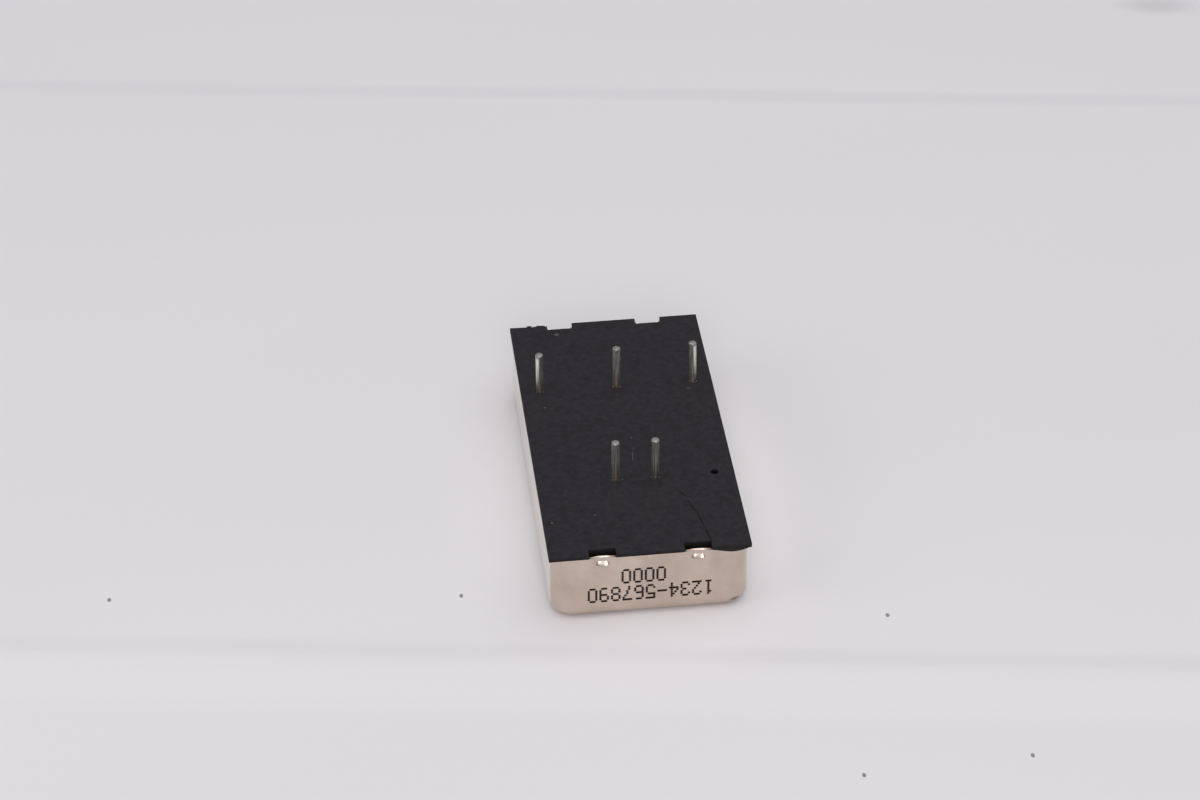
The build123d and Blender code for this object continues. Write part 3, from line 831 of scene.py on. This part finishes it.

# %% [markdown]
# The floor is a pale plastic sheet, slightly lilac. It isn't quite flat: two soft folds run across it, one in
# front of the module and one far behind, and their light and shade are painted into its colour as lighter and
# darker bands. A few crumbs of dust lie about. Close to the module the sheet is a little lighter, because the
# bright case throws light back onto it.

# %% Floor finish
beyond = 900  # millimetres: a mask this long has no end on the floor or on a piece
floor_material, shader = new_material("pale_sheet", 0.75, specular=0.3)
unevenness = noise(floor_material, 70 * MM, 2.0, (0.25, 1, 1))
floor_colour = ramp(floor_material, unevenness, [
    (0.3, (0.690, 0.676, 0.700)),
    (0.7, (0.716, 0.701, 0.724)),
])
fold_turn = -8.7  # degrees
# the first three bands are the folds' painted light and shade; the last entry darkens a short patch far behind
# on the right
for centre, radii, colour in [
    ((-8, -39, 0), (beyond, 7.0, 10), (0.728, 0.714, 0.736)),
    ((-7, -32, 0), (beyond, 2.4, 10), (0.678, 0.664, 0.688)),
    ((8, 102, 0), (beyond, 2.8, 10), (0.670, 0.657, 0.681)),
    ((101, 118, 0), (9, 4.0, 10), (0.600, 0.590, 0.610)),
]:
    floor_band = patch(floor_material, centre, radii, fold_turn, edge=0.9)
    floor_colour = blend(floor_material, floor_band, floor_colour, colour)
thrown_light = patch(floor_material, (1.5, 0, 0), (29, 41, 10), edge=0.8)
floor_colour = blend(floor_material, thrown_light, floor_colour, (0.83, 0.81, 0.83))
for x, y in [(-23.3, -18.7), (29.5, -29.2), (-67.6, -14.0), (41.9, -57.3), (21.3, -58.3)]:
    crumb = patch(floor_material, (x, y, 0), (0.3, 0.5, 5), ragged=0.3)
    floor_colour = blend(floor_material, crumb, floor_colour, (0.25, 0.24, 0.24))
join(floor_material, floor_colour, shader.inputs["Base Color"])
bump(floor_material, shader, noise(floor_material, 1.2 * MM, 4.0), 0.02 * MM, 0.4)
floor.data.materials.append(floor_material)
print("floor finish with", len(floor_material.node_tree.nodes), "nodes")

# %% [markdown]
# Nickel plate on a drawn case is a warm, satin metal. It has cloudy patches where the plating is thicker,
# fine lines drawn from roof to rim by the die, and tiny dull freckles. The two long walls are painted paler
# than the ends, a painted light that stands in for the brighter reflection they catch. Low on one corner of
# the input end a knock has left a shallow dent with a dark, ragged patch on it.

# %% Case finish
nickel, shader = new_material("satin_nickel", 0.2, 1.0)
clouds = noise(nickel, 3.0 * MM, 5.0)
nickel_colour = ramp(nickel, clouds, [(0.3, (0.59, 0.495, 0.42)), (0.7, (0.70, 0.59, 0.50))])
# the long walls get a paler copy of the nickel: painted light, standing in for the brighter reflection they
# catch
side_walls_painted_light = ramp(nickel, clouds, [(0.3, (0.77, 0.72, 0.67)), (0.7, (0.85, 0.81, 0.76))])
painted_light_from = 12.45  # millimetres from the middle, where the corner turns into the long wall
between_walls = patch(nickel, (0, 0, 0), (painted_light_from, beyond, beyond), edge=0.01)
nickel_colour = blend(nickel, between_walls, side_walls_painted_light, nickel_colour)
freckles = levels(nickel, noise(nickel, 0.22 * MM, 3.0), 0.0, 0.35, 0.58, 0.72)
nickel_colour = blend(nickel, freckles, nickel_colour, (0.46, 0.37, 0.30))
# a dark, ragged patch low on one corner of the input end, also pressed in a little through the relief below
knock_patch = patch(nickel, (10.75, -25.2, 1.25), (0.85, 1.2, 0.38), ragged=0.7, edge=0.5)
knock_patch_share = arithmetic(nickel, "MULTIPLY", knock_patch, 0.75)
nickel_colour = blend(nickel, knock_patch_share, nickel_colour, (0.12, 0.11, 0.10))
join(nickel, nickel_colour, shader.inputs["Base Color"])
join(nickel, levels(nickel, noise(nickel, 0.8 * MM, 5.0), 0.13, 0.29), shader.inputs["Roughness"])
draw_lines = noise(nickel, 0.12 * MM, 3.0, (1, 1, 0.12))
bump(nickel, shader, arithmetic(nickel, "SUBTRACT", draw_lines, knock_patch), 0.003 * MM, 0.5)
case.data.materials.append(nickel)
print("case finish with", len(nickel.node_tree.nodes), "nodes")

# %% [markdown]
# The plate is a filled black plastic, matt, with the fine grain of a spark-eroded mould and a faint ring left
# by the mould's pin round the sixth hole. It has picked up a few crumbs of dust, and a crooked dark scratch
# runs from near the input pins to the notch at the edge.

# %% Plate finish
black_plastic, shader = new_material("black_plastic", 0.5)
face_level = face / MM


def plate_mark(x, y, half_x, half_y, turn, ragged):
    """A small oval mark on the plate's face, in millimetres and degrees."""
    return patch(black_plastic, (x, y, face_level), (half_x, half_y, 1), turn, ragged=ragged)


grain = noise(black_plastic, 0.7 * MM, 8.0)
plate_colour = ramp(black_plastic, grain, [
    (0.32, (0.0068, 0.0056, 0.0080)),
    (0.7, (0.0180, 0.0152, 0.0205)),
])
dust = levels(black_plastic, noise(black_plastic, 0.45 * MM, 2.0), 0.0, 0.10, 0.70, 0.80)
plate_colour = blend(black_plastic, dust, plate_colour, (0.20, 0.20, 0.20))
for crumb_place in [
    (-11.55, -18.2, 0.16, 0.22, 20),
    (-6.0, -17.3, 0.14, 0.12, 0),
    (-1.7, -10.3, 0.10, 0.14, 0),
    (0.5, -1.6, 0.16, 0.11, 40),
    (-6.6, 22.9, 0.42, 0.24, 10),
    (0.2, -5.6, 0.05, 1.3, -4),
    (9.4, 8.4, 0.30, 0.10, -20),
    (-9.9, 6.4, 0.20, 0.12, 30),
]:
    crumb = arithmetic(black_plastic, "MULTIPLY", plate_mark(*crumb_place, ragged=0.5), 0.5)
    plate_colour = blend(black_plastic, crumb, plate_colour, (0.16, 0.17, 0.17))
scratch = plate_mark(5.5, -14.3, 1.15, 0.12, -60, ragged=0.35)
for stroke_place in [
    (6.35, -17.0, 1.9, 0.15, -74),
    (7.05, -19.9, 1.6, 0.13, -80),
    (7.55, -22.8, 1.8, 0.17, -82),
]:
    stroke = plate_mark(*stroke_place, ragged=0.35)
    scratch = arithmetic(black_plastic, "MAXIMUM", scratch, stroke)
plate_colour = blend(black_plastic, scratch, plate_colour, (0.004, 0.004, 0.004))

# the plate's sides and the depths of its notches get less light and are browner
below_face = height_band(black_plastic, face_level - 0.04, face_level - 0.41)
shaded = arithmetic(black_plastic, "MULTIPLY", below_face, 0.85)
plate_colour = blend(black_plastic, shaded, plate_colour, (0.0045, 0.0030, 0.0028))
join(black_plastic, plate_colour, shader.inputs["Base Color"])

# %% Plate relief
ring_centre = (control_hole.x / MM, control_hole.y / MM, face_level)
ring_outside = patch(black_plastic, ring_centre, (1.15, 1.15, 4), edge=0.08)
ring_inside = patch(black_plastic, ring_centre, (1.0, 1.0, 4), edge=0.08)
ring = arithmetic(black_plastic, "SUBTRACT", ring_outside, ring_inside)
relief = arithmetic(black_plastic, "SUBTRACT", noise(black_plastic, 0.09 * MM, 4.0), ring)
groove = arithmetic(black_plastic, "MULTIPLY", scratch, 2.0)
relief = arithmetic(black_plastic, "SUBTRACT", relief, groove)
sheen = levels(black_plastic, noise(black_plastic, 3.0 * MM, 3.0), 0.42, 0.58)
join(black_plastic, sheen, shader.inputs["Roughness"])
join(black_plastic, levels(black_plastic, scratch, 0.23, 0.12), shader.inputs["Specular IOR Level"])
bump(black_plastic, shader, relief, 0.006 * MM, 0.7)
plate.data.materials.append(black_plastic)
print("plate finish with", len(black_plastic.node_tree.nodes), "nodes")

# %% [markdown]
# The brass wire of the pins was drawn lengthwise before it was tinned, so bright and dull streaks run up
# them. The cut ends are grey and rough. Towards the plate the pins are painted browner and darker: painted
# reflection and shade near their feet.

# %% Pin finish
tinned, shader = new_material("tinned_wire", 0.4, 1.0)
streaks = noise(tinned, 0.20 * MM, 4.0, (1, 1, 0.05))
pin_colour = ramp(tinned, streaks, [
    (0.35, (0.44, 0.43, 0.36)),
    (0.5, (0.60, 0.59, 0.52)),
    (0.62, (0.90, 0.89, 0.84)),
])
# towards the plate the colour turns browner and darker: painted reflection and shade near the pins' feet
low_stretch = height_band(tinned, 13.0, 10.2)
foot_painted_shade = arithmetic(tinned, "MULTIPLY", low_stretch, noise(tinned, 0.6 * MM, 2.0))
pin_colour = blend(tinned, foot_painted_shade, pin_colour, (0.34, 0.23, 0.16))
cut_end = height_band(tinned, 15.45, 15.75)
end_grain = ramp(tinned, noise(tinned, 0.16 * MM, 3.0), [
    (0.35, (0.20, 0.20, 0.19)),
    (0.65, (0.46, 0.46, 0.43)),
])
pin_colour = blend(tinned, cut_end, pin_colour, end_grain)
join(tinned, pin_colour, shader.inputs["Base Color"])
join(tinned, levels(tinned, cut_end, 0.40, 0.55), shader.inputs["Roughness"])
bump(tinned, shader, streaks, 0.004 * MM, 0.5)
for pin in pin_pieces:
    pin.data.materials.append(tinned)
print("pin finish on", len(pin_pieces), "pins")

# %% [markdown]
# The ink is a brownish black that takes on a little of the metal's unevenness. The dark lens under the flange
# is darker and smoother than the plate.

# %% Ink and lens finishes
ink, shader = new_material("brown_black_ink", 0.6, specular=0.15)
ink_colour = ramp(ink, noise(ink, 0.2 * MM), [
    (0.3, (0.006, 0.004, 0.0035)),
    (0.8, (0.026, 0.017, 0.015)),
])
join(ink, ink_colour, shader.inputs["Base Color"])
marks.data.materials.append(ink)

lens_material, shader = new_material("black_lens", 0.45, specular=0.2)
lens_colour = ramp(lens_material, noise(lens_material, 0.3 * MM), [
    (0.3, (0.010, 0.007, 0.006)),
    (0.8, (0.024, 0.017, 0.015)),
])
join(lens_material, lens_colour, shader.inputs["Base Color"])
dark_lens.data.materials.append(lens_material)
print("ink and filler finishes ready")

# %% [markdown]
# ## Finishes for what is inside
#
# The pieces inside are taken over from the frame as they are. Each still gets a finish of its own, because
# they may be looked at with the plate or the resin hidden. Most of them are one kind of surface: two shades
# mixed by a noise, and a fine relief. A helper makes those, and the few with a pattern are made by hand.


# %% Helper for plain mixed surfaces
def dress(material, *node_names):
    """Give a material to pieces of the frame."""
    for node_name in node_names:
        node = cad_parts[node_name]
        node.data.materials.clear()
        node.data.materials.append(material)
    print(material.name, "on", len(node_names), "pieces")


def mottled(name, dark, light, size, roughness, metallic=0.0, relief=0.004):
    """A surface of two shades, with a roughness that varies a little."""
    material, shader = new_material(name, roughness, metallic)
    pattern = noise(material, size * MM, 5.0)
    join(material, ramp(material, pattern, [(0.35, dark), (0.65, light)]), shader.inputs["Base Color"])
    swing = 0.08
    variation = noise(material, 3 * size * MM, 3.0)
    variation = levels(material, variation, roughness - swing, roughness + swing)
    join(material, variation, shader.inputs["Roughness"])
    bump(material, shader, pattern, relief * MM, 0.6)
    return material


print("mixed surfaces ready")

# %% [markdown]
# The resin is black and slightly glossy where it set against the board. The liner is a clear amber film:
# light passes through it, so a part of it is transmission.

# %% Resin and liner
dress(mottled("black_resin", (0.010, 0.010, 0.011), (0.022, 0.021, 0.023), 1.2, 0.35), "potting_compound")

amber, shader = new_material("clear_amber", 0.2)
amber_colour = ramp(amber, noise(amber, 4.0 * MM, 3.0), [
    (0.3, (0.50, 0.20, 0.02)),
    (0.7, (0.66, 0.31, 0.06)),
])
join(amber, amber_colour, shader.inputs["Base Color"])
shader.inputs["Transmission Weight"].default_value = 0.5
bump(amber, shader, noise(amber, 2.0 * MM, 2.0), 0.01 * MM, 0.5)
dress(amber, "insulating_liner")

# %% [markdown]
# The board is glass cloth in green lacquer. The weave shows as a fine square grid, and copper areas under the
# lacquer show as lighter patches with straight edges, which square cells give.

# %% Circuit board
laminate, shader = new_material("lacquered_laminate", 0.3)
copper = laminate.node_tree.nodes.new("ShaderNodeTexVoronoi")
copper.distance = "CHEBYCHEV"
copper.inputs["Scale"].default_value = 1 / (2.6 * MM)
join(laminate, coordinates(laminate), copper.inputs["Vector"])
lacquer = ramp(laminate, copper.outputs["Distance"], [
    (0.30, (0.017, 0.150, 0.055)),
    (0.36, (0.010, 0.105, 0.038)),
])
weave = []
for direction in ("X", "Y"):
    thread = add_node(laminate, "ShaderNodeTexWave", scale=1 / (2.4 * MM))
    thread.bands_direction = direction
    join(laminate, coordinates(laminate), thread.inputs["Vector"])
    weave.append(thread.outputs["Fac"])
cloth = arithmetic(laminate, "MULTIPLY", *weave)
lacquer = blend(laminate, levels(laminate, cloth, 0.0, 0.25), lacquer, (0.05, 0.24, 0.10))
join(laminate, lacquer, shader.inputs["Base Color"])
bump(laminate, shader, cloth, 0.01 * MM, 0.5)
dress(laminate, "circuit_board")

# %% [markdown]
# Wound wire shows its turns as fine bands across the winding's axis, which stands upright in every coil here.
# Enamel makes the copper redder and glossy. The tape round the transformer is yellow film with a soft sheen.

# %% Windings and tape
enamel, shader = new_material("enamelled_wire", 0.25, 0.85)
turns = add_node(enamel, "ShaderNodeTexWave", scale=1 / (2.2 * MM), distortion=0.6)
turns.bands_direction = "Z"
join(enamel, coordinates(enamel), turns.inputs["Vector"])
copper_colour = ramp(enamel, turns.outputs["Fac"], [(0.1, (0.32, 0.09, 0.03)), (0.8, (0.72, 0.30, 0.13))])
join(enamel, copper_colour, shader.inputs["Base Color"])
bump(enamel, shader, noise(enamel, 0.15 * MM, 3.0), 0.003 * MM, 0.5)
dress(
    enamel,
    "transformer_primary_winding",
    "transformer_secondary_winding",
    "input_choke_winding",
    "output_choke_windings",
)

dress(mottled("yellow_film", (0.62, 0.42, 0.03), (0.78, 0.56, 0.06), 1.5, 0.32), "transformer_tape")

# %% [markdown]
# Ferrite is a sintered ceramic, dark grey with a fine sparkle. The bobbin is moulded in a dull phenolic black
# and the solder is a soft bright metal.

# %% Magnetic parts and solder
dress(
    mottled("sintered_ferrite", (0.028, 0.028, 0.031), (0.085, 0.084, 0.088), 0.18, 0.55),
    "transformer_core_upper",
    "transformer_core_lower",
    "input_choke_core",
    "output_choke_cores",
)
dress(mottled("dull_phenolic", (0.016, 0.015, 0.014), (0.034, 0.032, 0.030), 0.5, 0.5), "transformer_bobbin")
dress(mottled("bright_solder", (0.48, 0.48, 0.47), (0.74, 0.74, 0.72), 0.5, 0.28, 1.0), "pin_solder_joints")

# %% [markdown]
# Moulded chips are black epoxy with a fine matt grain, and the optocoupler's is off-white, because that
# keeps its light inside. All their leads and the ends of the chip parts are matt tin.

# %% Chips and their metal
dress(
    mottled("moulded_epoxy", (0.014, 0.014, 0.015), (0.034, 0.034, 0.036), 0.12, 0.6),
    "switch_transistor_body",
    "controller_body",
    "rectifier_bodies",
    "clamp_diode_body",
    "voltage_reference_body",
)
dress(mottled("white_epoxy", (0.60, 0.57, 0.50), (0.72, 0.69, 0.62), 0.2, 0.55), "optocoupler_body")
dress(
    mottled("matt_tin", (0.50, 0.50, 0.49), (0.70, 0.70, 0.68), 0.2, 0.38, 1.0),
    "transformer_terminals",
    "input_choke_terminals",
    "output_choke_terminals",
    "switch_transistor_leads",
    "controller_leads",
    "optocoupler_leads",
    "rectifier_leads",
    "clamp_diode_leads",
    "voltage_reference_leads",
    "input_capacitor_ends",
    "output_capacitor_ends",
    "safety_capacitor_ends",
    "sense_resistor_ends",
    "chip_resistor_ends",
    "chip_capacitor_ends",
)

# %% [markdown]
# Ceramic capacitors are a fired tan, a little uneven, and resistors carry a glossy black glaze.

# %% Chip parts
dress(
    mottled("fired_ceramic", (0.30, 0.19, 0.11), (0.46, 0.31, 0.20), 0.35, 0.45),
    "input_capacitor_bodies",
    "output_capacitor_bodies",
    "safety_capacitor_body",
    "chip_capacitor_bodies",
)
dress(
    mottled("black_glaze", (0.010, 0.010, 0.012), (0.030, 0.030, 0.034), 0.3, 0.22),
    "sense_resistor_body",
    "chip_resistor_bodies",
)
